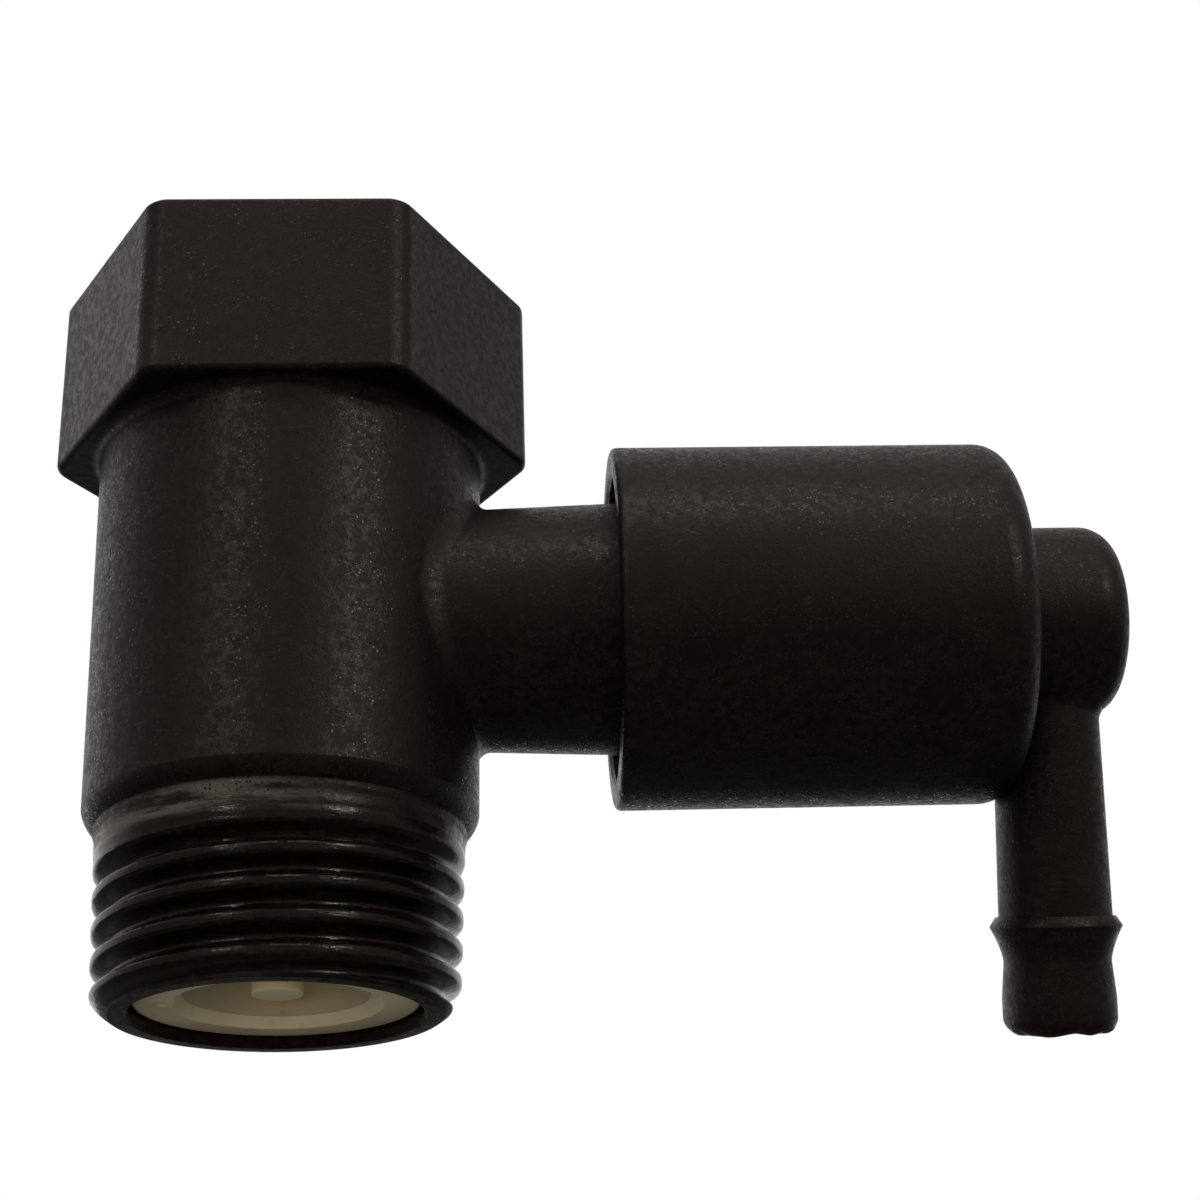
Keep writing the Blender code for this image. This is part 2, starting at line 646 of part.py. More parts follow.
def relief_piston(axis):
    """Cup that carries the relief washer, winged so that water passes along the cap's bore."""
    recess = RELIEF_WASHER_RADIUS + SEAT_GAP
    front = RELIEF_WASHER_START
    stem_end = PISTON_BACK + PISTON_STEM_LENGTH
    profile = [
        (0, stem_end),
        (PISTON_STEM_RADIUS, stem_end),
        (PISTON_STEM_RADIUS, PISTON_BACK),
        (PISTON_RADIUS, PISTON_BACK),
        (PISTON_RADIUS, front),
        (recess, front),
        (recess, PISTON_RECESS_FLOOR),
        (0, PISTON_RECESS_FLOOR),
    ]
    piston = turned("relief_piston", profile, axis)
    inner = RELIEF_SPRING_RADIUS + RELIEF_WIRE_RADIUS + SEAT_GAP
    for i in range(WING_COUNT):
        low = (max(inner, recess + SEAT_GAP), -WING_WIDTH / 2, front)
        high = (HEAD_RADIUS, WING_WIDTH / 2, front + WING_LENGTH)
        wing = block(f"piston_wing_{i + 1}", low, high, axis)
        wing.rotation_euler.z = 2 * pi * i / WING_COUNT
        combine(piston, wing, "UNION")
    return finish(piston, IVORY_ACETAL)


def hose_tail(axis):
    """Turned hose tail from the hub's middle out to its barbed tip."""
    swollen = TAIL_RADIUS + TAIL_SWELL
    barb = TAIL_LENGTH - BARB_FROM_TIP
    waist = barb + BARB_TAPER_LENGTH
    scoop = []
    for i in range(1, ROUND_STEPS + 1):
        share = i / ROUND_STEPS
        radius = TAIL_RADIUS + (BARB_RADIUS - TAIL_RADIUS) * (1 - share) ** BARB_HOLLOW
        scoop.append((radius, barb + BARB_TAPER_LENGTH * share))
    tip = corner((swollen - TAIL_TIP_ROUND, TAIL_LENGTH - TAIL_TIP_ROUND), TAIL_TIP_ROUND, 90, 0)
    profile = [
        (0, TAIL_LENGTH),
        *tip,
        (swollen, waist + (TAIL_LENGTH - waist) / 2),
        *scoop[::-1],
        (BARB_RADIUS, barb + BARB_EDGE),
        (BARB_RADIUS, barb),
        (swollen, barb),
        (TAIL_RADIUS, 0),
        (0, 0),
    ]
    tail = turned("hose_tail", profile, axis, cutter=True)
    tail.rotation_euler.y = pi / 2
    tail.location.z = CAP_END + TAIL_OFFSET
    return tail


def outlet_cap(axis):
    """Cap, hub and hose tail in one moulding, bored through to the tip."""
    hub_end = CAP_END + HUB_LENGTH
    end_corner = (CAP_RADIUS - CAP_END_ROUND, CAP_END - CAP_END_ROUND)
    rim_corner = (CAP_RADIUS - CAP_RIM_ROUND, CAP_START + CAP_RIM_ROUND)
    outside = [
        (0, hub_end),
        *corner((HUB_RADIUS - HUB_ROUND, hub_end - HUB_ROUND), HUB_ROUND, 90, 0),
        (HUB_RADIUS, CAP_END),
        *corner(end_corner, CAP_END_ROUND, 90, 0),
        *corner(rim_corner, CAP_RIM_ROUND, 0, -90),
        (0, CAP_START),
    ]
    cap = turned("outlet_cap", outside, axis, LARGE_STEPS)
    combine(cap, hose_tail(axis), "UNION")
    groove_start = CAP_START + RING_LIP
    groove_radius = CAP_BORE_RADIUS + RING_GROOVE_DEPTH
    hub_bore_end = CAP_END + TAIL_OFFSET + TAIL_BORE_RADIUS
    cavity = [
        (0, hub_bore_end),
        (HUB_BORE_RADIUS, hub_bore_end),
        (HUB_BORE_RADIUS, CAP_BORE_END),
        (CAP_BORE_RADIUS, CAP_BORE_END),
        (CAP_BORE_RADIUS, HEAD_START),
        (groove_radius, HEAD_START),
        (groove_radius, groove_start),
        (CAP_BORE_RADIUS, groove_start),
        (CAP_BORE_RADIUS, CAP_START - CUT_PAST),
        (0, CAP_START - CUT_PAST),
    ]
    combine(cap, turned("cap_cavity", cavity, axis, LARGE_STEPS, cutter=True), "DIFFERENCE")
    bore = [
        (0, TAIL_LENGTH + CUT_PAST),
        (TAIL_BORE_RADIUS, TAIL_LENGTH + CUT_PAST),
        (TAIL_BORE_RADIUS, 0),
        (0, 0),
    ]
    drain = turned("tail_bore", bore, axis, cutter=True)
    drain.rotation_euler.y = pi / 2
    drain.location.z = CAP_END + TAIL_OFFSET
    combine(cap, drain, "DIFFERENCE")
    return finish(cap, BLACK_NYLON)


def cap_snap_ring(axis):
    """Split ring, sprung into the cap's groove behind the head of the neck."""
    inner = neck_radius(HEAD_START) + SEAT_GAP
    outer = CAP_BORE_RADIUS + RING_GROOVE_DEPTH - SEAT_GAP
    end = RING_START + RING_THICKNESS
    profile = [(outer, end), (outer, RING_START), (inner, RING_START), (inner, end)]
    ring = turned("cap_snap_ring", profile, axis, LARGE_STEPS)
    low = (inner - CUT_PAST, -RING_SPLIT / 2, RING_START - CUT_PAST)
    high = (outer + CUT_PAST, RING_SPLIT / 2, end + CUT_PAST)
    combine(ring, block("ring_split", low, high, axis), "DIFFERENCE")
    return finish(ring, BLACK_NYLON)


def spring_thrust_washer(axis):
    return flat_ring(
        "spring_thrust_washer", HUB_BORE_RADIUS + SEAT_GAP, THRUST_WASHER_RADIUS, THRUST_WASHER_START,
        THRUST_WASHER_THICKNESS, axis, SPRING_STEEL
    )


clear_scene()
PARTS = new_collection("non_return_valve")
CUTTERS = new_collection("cutters")
CUTTERS.hide_render = True

BLACK_NYLON = new_material("black_nylon", (0.016, 0.014, 0.013), 0.42)
IVORY_ACETAL = new_material("ivory_acetal", (0.72, 0.69, 0.55), 0.38)
BLACK_RUBBER = new_material("black_rubber", (0.02, 0.02, 0.02), 0.7)
SPRING_STEEL = new_material("spring_steel", (0.55, 0.55, 0.56), 0.28, 1.0)

BODY_AXIS = new_axis("body_axis")
CHECK_AXIS = new_axis("check_axis", parent=BODY_AXIS)
BRANCH_AXIS = new_axis("branch_axis", (0, 0, BRANCH_HEIGHT), (0, pi / 2, 0), BODY_AXIS)
RELIEF_AXIS = new_axis("relief_axis", parent=BRANCH_AXIS)
OUTLET_AXIS = new_axis("outlet_axis", rotation=(0, 0, OUTLET_TURN), parent=BRANCH_AXIS)

valve_body(BODY_AXIS)
check_seat_ring(BODY_AXIS)
cartridge_o_ring(BODY_AXIS)
check_guide(BODY_AXIS)
check_spring(BODY_AXIS)
check_poppet(CHECK_AXIS)
check_washer(CHECK_AXIS)
cap_o_ring(BRANCH_AXIS)
relief_piston(RELIEF_AXIS)
relief_washer(RELIEF_AXIS)
relief_spring(BRANCH_AXIS)
outlet_cap(OUTLET_AXIS)
cap_snap_ring(OUTLET_AXIS)
spring_thrust_washer(OUTLET_AXIS)
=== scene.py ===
import json
from math import atan2, cos, hypot, pi, radians, sin, sqrt

import bmesh
import bpy
from mathutils import Matrix, Vector, noise


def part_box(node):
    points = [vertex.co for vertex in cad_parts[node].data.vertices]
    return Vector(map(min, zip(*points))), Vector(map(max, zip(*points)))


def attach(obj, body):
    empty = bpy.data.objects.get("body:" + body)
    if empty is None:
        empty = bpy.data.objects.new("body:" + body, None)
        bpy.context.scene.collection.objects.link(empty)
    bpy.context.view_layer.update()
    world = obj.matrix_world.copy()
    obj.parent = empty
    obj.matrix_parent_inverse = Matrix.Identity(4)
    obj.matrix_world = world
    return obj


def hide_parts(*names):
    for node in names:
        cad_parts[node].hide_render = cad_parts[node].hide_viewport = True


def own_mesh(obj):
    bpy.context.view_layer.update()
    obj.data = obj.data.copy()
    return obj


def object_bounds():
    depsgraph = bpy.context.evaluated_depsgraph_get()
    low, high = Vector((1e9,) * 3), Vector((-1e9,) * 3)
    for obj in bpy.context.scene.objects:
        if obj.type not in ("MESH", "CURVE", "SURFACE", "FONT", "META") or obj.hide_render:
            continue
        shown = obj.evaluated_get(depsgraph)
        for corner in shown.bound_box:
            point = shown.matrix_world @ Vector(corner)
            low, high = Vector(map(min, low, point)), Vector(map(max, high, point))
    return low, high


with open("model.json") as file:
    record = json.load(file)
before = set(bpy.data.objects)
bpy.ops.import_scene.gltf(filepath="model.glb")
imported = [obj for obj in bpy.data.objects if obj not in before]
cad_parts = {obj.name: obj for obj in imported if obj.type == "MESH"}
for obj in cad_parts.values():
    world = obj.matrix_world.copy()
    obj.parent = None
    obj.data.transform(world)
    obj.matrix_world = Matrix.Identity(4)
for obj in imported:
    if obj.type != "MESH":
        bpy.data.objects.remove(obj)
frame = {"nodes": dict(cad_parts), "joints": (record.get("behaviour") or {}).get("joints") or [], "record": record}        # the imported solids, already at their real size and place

mm = 0.001
hair = 0.01 * mm         # play when vertices are found by their place
mergeGap = 0.001 * mm
past = 1.0 * mm          # how far a cutting shape reaches beyond the face that it cuts
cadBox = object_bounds()
scene = bpy.context.scene
joints = {joint["name"]: joint for joint in frame["joints"]}
branchHeight = joints["outlet_swivel"]["pos_m"][2]
bodyLow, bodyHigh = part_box("valve_body")
capLow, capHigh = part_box("outlet_cap")
print("frame loaded with", len(frame["nodes"]), "nodes")


# Where the branch and the turned outlet stand: their own Z runs along the branch
outletTurn = radians(15.8)
branchPlace = Matrix.Translation((0, 0, branchHeight)) @ Matrix.Rotation(pi / 2, 4, "Y")
outletPlace = branchPlace @ Matrix.Rotation(outletTurn, 4, "Z")


# Small tools for turned and cut shapes

def corner(center, radius, start, end, steps=8):
    # points of an arc in a profile, with its angles in degrees
    angles = [radians(start + (end - start) * i / steps) for i in range(steps + 1)]
    return [(center[0] + radius * cos(a), center[1] + radius * sin(a)) for a in angles]


def spin(profile, steps, place=None):
    # turns (radius, height) points about Z; a profile that starts off the axis closes as a ring
    shape = bmesh.new()
    verts = [shape.verts.new((r, 0, z)) for r, z in profile]
    edges = [shape.edges.new(pair) for pair in zip(verts, verts[1:])]
    if profile[0][0] > 0:
        edges.append(shape.edges.new((verts[-1], verts[0])))
    bmesh.ops.spin(
        shape, geom=verts + edges, cent=(0, 0, 0), axis=(0, 0, 1),
        angle=2 * pi, steps=steps, use_merge=True
    )
    bmesh.ops.remove_doubles(shape, verts=shape.verts, dist=mergeGap)
    bmesh.ops.recalc_face_normals(shape, faces=shape.faces)
    if place:
        bmesh.ops.transform(shape, matrix=place, verts=shape.verts)
    return shape


def piece(name, shape):
    mesh = bpy.data.meshes.new(name)
    shape.to_mesh(mesh)
    shape.free()
    obj = bpy.data.objects.new(name, mesh)
    scene.collection.objects.link(obj)
    return obj


def combine(obj, shape, operation):
    # cuts or joins a shape, and keeps the result as the object's own mesh
    other = piece("tool", shape)
    boolean = obj.modifiers.new(operation, "BOOLEAN")
    boolean.operation = operation
    boolean.solver = "EXACT"
    boolean.object = other
    graph = bpy.context.evaluated_depsgraph_get()
    mesh = bpy.data.meshes.new_from_object(obj.evaluated_get(graph))
    obj.modifiers.clear()
    old, obj.data = obj.data, mesh
    bpy.data.meshes.remove(old)
    bpy.data.meshes.remove(other.data)


def smooth(obj, angle=35, weighted=True):
    # smooth shading that leaves the flats flat
    obj.data.shade_smooth()
    obj.data.set_sharp_from_angle(angle=radians(angle))
    if weighted:
        weight = obj.modifiers.new("even shading", "WEIGHTED_NORMAL")
        weight.keep_sharp = True
        weight.weight = 80


# Node tools for the materials and the world

class NodeTools:
    # short ways to add nodes to whatever owns them
    def __init__(self, owner):
        owner.use_nodes = True
        self.nodes = owner.node_tree.nodes
        self.links = owner.node_tree.links

    def join(self, source, target):
        self.links.new(source, target)

    def put(self, socket, value):
        if isinstance(value, bpy.types.NodeSocket):
            self.join(value, socket)
        else:
            socket.default_value = value

    def ramp(self, source, low, high, fromLow=0.0, fromHigh=1.0):
        # low at fromLow and high at fromHigh, eased in and out
        node = self.nodes.new("ShaderNodeMapRange")
        node.interpolation_type = "SMOOTHSTEP"
        self.join(source, node.inputs["Value"])
        node.inputs["From Min"].default_value = fromLow
        node.inputs["From Max"].default_value = fromHigh
        node.inputs["To Min"].default_value = low
        node.inputs["To Max"].default_value = high
        return node.outputs["Result"]

    def maths(self, operation, a, b=0.0):
        node = self.nodes.new("ShaderNodeMath")
        node.operation = operation
        self.put(node.inputs[0], a)
        self.put(node.inputs[1], b)
        return node.outputs[0]

    def times(self, a, b):
        return self.maths("MULTIPLY", a, b)

    def vectors(self, operation, a, b=(0, 0, 0)):
        node = self.nodes.new("ShaderNodeVectorMath")
        node.operation = operation
        self.put(node.inputs[0], a)
        self.put(node.inputs[1], b)
        return node.outputs["Value" if operation in ("DOT_PRODUCT", "LENGTH") else "Vector"]

    def split(self, vector):
        node = self.nodes.new("ShaderNodeSeparateXYZ")
        self.join(vector, node.inputs[0])
        return node.outputs

    def mix(self, share, a, b):
        node = self.nodes.new("ShaderNodeMix")
        node.data_type = "RGBA"
        self.put(node.inputs["Factor"], share)
        self.put(node.inputs[6], a)
        self.put(node.inputs[7], b)
        return node.outputs[2]


class Finish(NodeTools):
    # one material, with its patterns in the object's own place
    def __init__(self, name):
        self.material = bpy.data.materials.new(name)
        super().__init__(self.material)
        self.shader = self.nodes["Principled BSDF"]
        self.place = self.nodes.new("ShaderNodeTexCoord").outputs["Object"]

    def give(self, socketName, value):
        self.put(self.shader.inputs[socketName], value)

    def noise(self, scale, detail=3, rough=0.5, stretch=None):
        node = self.nodes.new("ShaderNodeTexNoise")
        node.inputs["Scale"].default_value = scale
        node.inputs["Detail"].default_value = detail
        node.inputs["Roughness"].default_value = rough
        source = self.place
        if stretch:
            mapping = self.nodes.new("ShaderNodeMapping")
            mapping.inputs["Scale"].default_value = stretch
            self.join(self.place, mapping.inputs["Vector"])
            source = mapping.outputs["Vector"]
        self.join(source, node.inputs["Vector"])
        return node.outputs["Fac"]

    def cells(self, scale):
        node = self.nodes.new("ShaderNodeTexVoronoi")
        node.inputs["Scale"].default_value = scale
        self.join(self.place, node.inputs["Vector"])
        return node.outputs

    def axis(self, letter):
        return self.split(self.place)[letter]

    def bump(self, height, distance, strength=1.0, under=None):
        node = self.nodes.new("ShaderNodeBump")
        node.inputs["Distance"].default_value = distance
        node.inputs["Strength"].default_value = strength
        self.join(height, node.inputs["Height"])
        if under:
            self.join(under, node.inputs["Normal"])
        return node.outputs["Normal"]


# Glass-filled nylon: dark and mottled, with small glass facets near the surface

nylonLook = dict(
    dark=(0.0020, 0.0016, 0.0014, 1), light=(0.0105, 0.0084, 0.0073, 1),
    tint=(1.0, 0.85, 0.76, 1), shine=0.24,
    cloud=300, cloudLeast=0.35, cloudSpan=(0.35, 0.65),
    mottle=2000, mottleSpan=(0.36, 0.66), rough=(0.52, 0.36),
    coarseRise=0.024 * mm, grain=5200, grainRise=0.018 * mm,
)
glassLook = dict(
    size=5400, share=0.50, edge=(0.34, 0.46), patch=800, patchSpan=(0.44, 0.54),
    tilt=0.28, rough=0.17, color=(0.013, 0.011, 0.010, 1),
)
threadLook = dict(
    top=8.7 * mm, fade=1.6 * mm, smoother=0.26, left=dict(grain=0.25, fleck=0.10, plane=0.3),
    streaks=(420, 420, 3200), streakRise=0.03 * mm, endFace=(0.05 * mm, 0.5 * mm), endRough=0.45,
)
flatLook = dict(low=34.2 * mm, side=7.6 * mm, fade=0.9 * mm, left=0.25)
rubbedLook = dict(
    low=8.5 * mm, fadeIn=0.7 * mm, high=10.6 * mm, fadeOut=0.6 * mm, color=(0.105, 0.090, 0.078, 1),
    across=(-3 * mm, 6 * mm), least=0.12, smear=(210, 210, 1500), smearSpan=(0.40, 0.64), rougher=0.2,
)


def glassFacets(finish):
    # where the facets lie, and the flats, each tilted its own way
    look = glassLook
    cells = finish.cells(look["size"])
    chance = finish.nodes.new("ShaderNodeSeparateColor")
    finish.join(cells["Color"], chance.inputs[0])
    chosen = finish.maths("GREATER_THAN", chance.outputs[0], look["share"])
    patch = finish.ramp(finish.noise(look["patch"], 3, 0.6), 0, 1, *look["patchSpan"])
    fleck = finish.times(finish.ramp(cells["Distance"], 1, 0, *look["edge"]), chosen)
    away = finish.vectors("SUBTRACT", finish.place, cells["Position"])
    tilt = finish.vectors("SUBTRACT", cells["Color"], (0.5, 0.5, 0.5))
    plane = finish.times(finish.vectors("DOT_PRODUCT", away, tilt), look["tilt"])
    return finish.times(fleck, patch), plane


def shineThread(finish, layers):
    # the cut thread shines, with streaks along its turns; its end face is matt
    look = threadLook
    height = finish.axis("Z")
    gloss = finish.ramp(height, 1, 0, look["top"], look["top"] + look["fade"])
    endFace = finish.ramp(height, 1, 0, *look["endFace"])
    rough = finish.maths("SUBTRACT", layers["rough"], finish.times(gloss, look["smoother"]))
    layers["rough"] = finish.maths("ADD", rough, finish.times(endFace, look["endRough"]))
    for name, left in look["left"].items():
        layers[name] = finish.times(layers[name], finish.ramp(gloss, 1, left))
    layers["streaks"] = finish.times(finish.noise(1, 3, 0.6, stretch=look["streaks"]), gloss)


def calmFlats(finish, layers):
    # the hexagon's side flats are smoother than the rest
    look = flatLook
    sideways = finish.maths("ABSOLUTE", finish.axis("X"))
    flat = finish.times(
        finish.ramp(finish.axis("Z"), 0, 1, look["low"] - look["fade"], look["low"]),
        finish.ramp(sideways, 0, 1, look["side"], look["side"] + look["fade"])
    )
    calm = finish.ramp(flat, 1, look["left"])
    for name in ("grain", "plane", "coarse", "fleck"):
        layers[name] = finish.times(layers[name], calm)


def rubRing(finish, layers):
    # pale smears on the ring above the thread, fainter towards the branch
    look = rubbedLook
    height = finish.axis("Z")
    band = finish.times(
        finish.ramp(height, 0, 1, look["low"], look["low"] + look["fadeIn"]),
        finish.ramp(height, 1, 0, look["high"] - look["fadeOut"], look["high"])
    )
    sideways = finish.ramp(finish.axis("X"), 1, look["least"], *look["across"])
    smear = finish.ramp(finish.noise(1, 5, 0.65, stretch=look["smear"]), 0, 1, *look["smearSpan"])
    rubbed = finish.times(finish.times(band, sideways), smear)
    layers["base"] = finish.mix(rubbed, layers["base"], look["color"])
    layers["rough"] = finish.maths("ADD", layers["rough"], finish.times(rubbed, look["rougher"]))


def nylonFinish(name, *changes):
    look = nylonLook
    finish = Finish(name)
    cloud = finish.ramp(finish.noise(look["cloud"], 4, 0.6), look["cloudLeast"], 1, *look["cloudSpan"])
    mottle = finish.ramp(finish.noise(look["mottle"], 5, 0.7), 0, 1, *look["mottleSpan"])
    fleck, plane = glassFacets(finish)
    layers = dict(
        base=finish.mix(finish.times(cloud, mottle), look["dark"], look["light"]),
        rough=finish.ramp(mottle, *look["rough"]),
        coarse=finish.noise(look["mottle"], 4, 0.65),
        grain=finish.noise(look["grain"], 3, 0.65),
        fleck=fleck, plane=plane,
    )
    for change in changes:
        change(finish, layers)
    fleck, rough = layers["fleck"], layers["rough"]
    finish.give("Base Color", finish.mix(fleck, layers["base"], glassLook["color"]))
    smoother = finish.times(finish.maths("SUBTRACT", rough, glassLook["rough"]), fleck)
    finish.give("Roughness", finish.maths("SUBTRACT", rough, smoother))
    normal = finish.bump(layers["coarse"], look["coarseRise"])
    normal = finish.bump(layers["grain"], look["grainRise"], under=normal)
    if "streaks" in layers:
        normal = finish.bump(layers["streaks"], threadLook["streakRise"], under=normal)
    normal = finish.bump(finish.times(layers["plane"], fleck), 1.0, under=normal)
    finish.give("Normal", normal)
    finish.give("Specular IOR Level", look["shine"])
    finish.give("Specular Tint", look["tint"])
    return finish.material


# The other finishes

ivoryLook = dict(
    low=(0.74, 0.63, 0.40, 1), high=(0.83, 0.72, 0.47, 1), cloud=260, cloudSpan=(0.35, 0.65),
    speck=(0.60, 0.50, 0.31, 1), specks=1500, speckShare=0.4, speckSpan=(0.6, 0.75),
    rough=(0.32, 0.44), grain=3000, grainRise=0.01 * mm,
    scatter=0.12, scatterDepth=(1.2 * mm, 1.0 * mm, 0.6 * mm), refraction=1.48,
)
# the poppet is the same ivory acetal with painted light: painted shade darkens its dish, and a painted
# highlight makes its boss paler
poppetShadeAndHighlightLook = dict(
    ivoryLook, low=(0.46, 0.38, 0.21, 1), high=(0.53, 0.44, 0.26, 1), speck=(0.36, 0.29, 0.16, 1),
    boss=(0.95, 0.85, 0.55, 1), bossRadius=1.5 * mm, bossFade=0.1 * mm,
)
rubberLook = dict(
    black=(0.012, 0.012, 0.012, 1), dusty=(0.03, 0.03, 0.03, 1), dust=1400, dustSpan=(0.4, 0.7),
    rough=(0.55, 0.75), grain=5000, grainRise=0.012 * mm,
)
steelLook = dict(
    dark=(0.50, 0.50, 0.51, 1), bright=(0.66, 0.65, 0.64, 1), drawn=(900, 900, 9000),
    rough=(0.18, 0.34), drawnRise=0.004 * mm,
)


def ivoryFinish(name, look):
    finish = Finish(name)
    cloud = finish.ramp(finish.noise(look["cloud"], 3), 0, 1, *look["cloudSpan"])
    fleck = finish.ramp(finish.noise(look["specks"], 2), 0, look["speckShare"], *look["speckSpan"])
    base = finish.mix(fleck, finish.mix(cloud, look["low"], look["high"]), look["speck"])
    if "boss" in look:      # painted highlight: the boss in the middle is painted paler than the dish around it
        away = finish.vectors("LENGTH", finish.vectors("MULTIPLY", finish.place, (1, 1, 0)))
        rim = look["bossRadius"]
        base = finish.mix(finish.ramp(away, 1, 0, rim, rim + look["bossFade"]), base, look["boss"])
    finish.give("Base Color", base)
    finish.give("Roughness", finish.ramp(cloud, *look["rough"]))
    finish.give("Normal", finish.bump(finish.noise(look["grain"], 2), look["grainRise"], 0.5))
    finish.give("Subsurface Weight", look["scatter"])
    finish.give("Subsurface Radius", look["scatterDepth"])
    finish.give("Subsurface Scale", 1.0)
    finish.give("IOR", look["refraction"])
    return finish.material


def rubberFinish(name):
    look = rubberLook
    finish = Finish(name)
    dust = finish.ramp(finish.noise(look["dust"], 4, 0.6), 0, 1, *look["dustSpan"])
    finish.give("Base Color", finish.mix(dust, look["black"], look["dusty"]))
    finish.give("Roughness", finish.ramp(dust, *look["rough"]))
    finish.give("Normal", finish.bump(finish.noise(look["grain"], 2), look["grainRise"], 0.6))
    return finish.material


def steelFinish(name):
    look = steelLook
    finish = Finish(name)
    drawn = finish.noise(1, 3, 0.6, stretch=look["drawn"])
    finish.give("Base Color", finish.mix(drawn, look["dark"], look["bright"]))
    finish.give("Roughness", finish.ramp(drawn, *look["rough"]))
    finish.give("Metallic", 1.0)
    finish.give("Normal", finish.bump(drawn, look["drawnRise"], 0.5))
    return finish.material


bodyNylon = nylonFinish("body nylon", shineThread, calmFlats, rubRing)
capNylon = nylonFinish("cap nylon")
ivoryAcetal = ivoryFinish("ivory acetal", ivoryLook)
poppetShadeAndHighlightAcetal = ivoryFinish("poppet acetal painted shade and highlight", poppetShadeAndHighlightLook)
sealRubber = rubberFinish("seal rubber")
springSteel = steelFinish("spring steel")
slotFinish = dict(
    black_nylon=capNylon, ivory_acetal=ivoryAcetal,
    black_rubber=sealRubber, spring_steel=springSteel,
)
print("finishes made")


def dress(obj, body, slotName, material, *nodes):
    # what every finished piece gets: its finish, its body and the solids that it stands for
    obj.data.materials.clear()
    obj.data.materials.append(material)
    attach(obj, body)
    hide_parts(*nodes)


# Male thread, cut into the inlet end

maleThread = dict(
    pitch=1.814 * mm,          # 14 turns to the inch
    crest=10.2 * mm, taper=1 / 32, depth=1.0 * mm,
    crestShare=0.09, rootShare=0.04, rounding=0.85,
    firstCrest=-0.147 * mm,    # height of a crest on the +X side
    startRadius=9.26 * mm, startLength=0.95 * mm, startRound=1.6,
    fadeLow=7.1 * mm, fadeHigh=8.7 * mm,       # the cut runs out between these heights
    ripple=0.022 * mm, rippleLength=0.62 * mm,
    top=9.9 * mm, row=0.11 * mm,
    wobble=0.02 * mm, wobbleScale=420,
)

# from the barrel's lower edge the body leans in, rounds off and ends on a low ridge above the thread
shoulder = dict(
    edge=11.52 * mm, roundRadius=1.6 * mm,
    lean=12, leanGap=2, fall=60,               # degrees: the round runs from just past the lean to the fall
    ridge=10.6 * mm, ridgeHigh=10.3 * mm, ridgeLow=10.06 * mm,
)


def threadShare(turn, thread):
    # 0 on a crest and 1 in a root, for a height counted in turns
    away = abs(turn - round(turn))
    flank = 0.5 - thread["crestShare"] - thread["rootShare"]
    u = min(max((away - thread["crestShare"]) / flank, 0), 1)
    return u - thread["rounding"] * sin(2 * pi * u) / (2 * pi)


def cutMaleThread(shape):
    thread = maleThread
    for vert in shape.verts:
        x, y, z = vert.co
        radius = hypot(x, y)
        if radius < thread["startRadius"] - hair or z > thread["top"] + hair:
            continue
        around = atan2(y, x) / (2 * pi)
        turn = (z - thread["firstCrest"]) / thread["pitch"] - around
        crest = thread["crest"] + thread["taper"] * z
        fade = min(max((thread["fadeHigh"] - z) / (thread["fadeHigh"] - thread["fadeLow"]), 0), 1)
        cut = crest - thread["depth"] * threadShare(turn, thread) * fade
        cut += thread["wobble"] * noise.noise(vert.co * thread["wobbleScale"])
        cut += thread["ripple"] * (1 - fade) * sin(2 * pi * (z / thread["rippleLength"] - around))
        rise = 1 - (1 - min(z / thread["startLength"], 1)) ** thread["startRound"]
        start = thread["startRadius"] + (crest - thread["startRadius"]) * rise
        new = min(cut, start)
        vert.co.x *= new / radius
        vert.co.y *= new / radius


# Body: thread, drafted barrel, hexagon, branch and waterway

barrel = dict(
    radius=11.44 * mm, draft=0.0106, rows=8, cove=0.7 * mm, inletBore=8.18 * mm, inletDepth=14.0 * mm,
    passage=7.0 * mm, rimRound=0.12 * mm, steps=360,
)
hexagon = dict(
    across=bodyHigh.y - bodyLow.y, low=34.0 * mm, high=bodyHigh.z,
    cornerRound=1.6 * mm, edgeRound=0.35 * mm,
)
socket = dict(
    minor=9.2 * mm, taper=1 / 32, depth=14.0 * mm, chamfer=1.6 * mm, threadDepth=0.95 * mm,
    pitch=1.814 * mm, crestShare=0.07, rootShare=0.05, rounding=0.6, runOut=1.6 * mm, row=0.17 * mm,
    cutFrom=7.5 * mm,          # nothing closer to the axis is cut
)
neck = dict(
    radius=7.3 * mm, draft=0.034, fillet=1.0 * mm, filletSteps=10, sink=0.06 * mm, rootDepth=3.0 * mm,
    headStart=21.9 * mm, headEnd=28.3 * mm, headRadius=8.9 * mm, headRound=0.4 * mm,
    groove=7.0 * mm, grooveHalf=1.1 * mm, lip=0.7 * mm, lipWidth=1.0 * mm,
    port=2.5 * mm, portStart=4.0 * mm, portEnd=40.0 * mm, steps=160,
)


def barrelRadius(z):
    return barrel["radius"] + barrel["draft"] * (z - branchHeight)


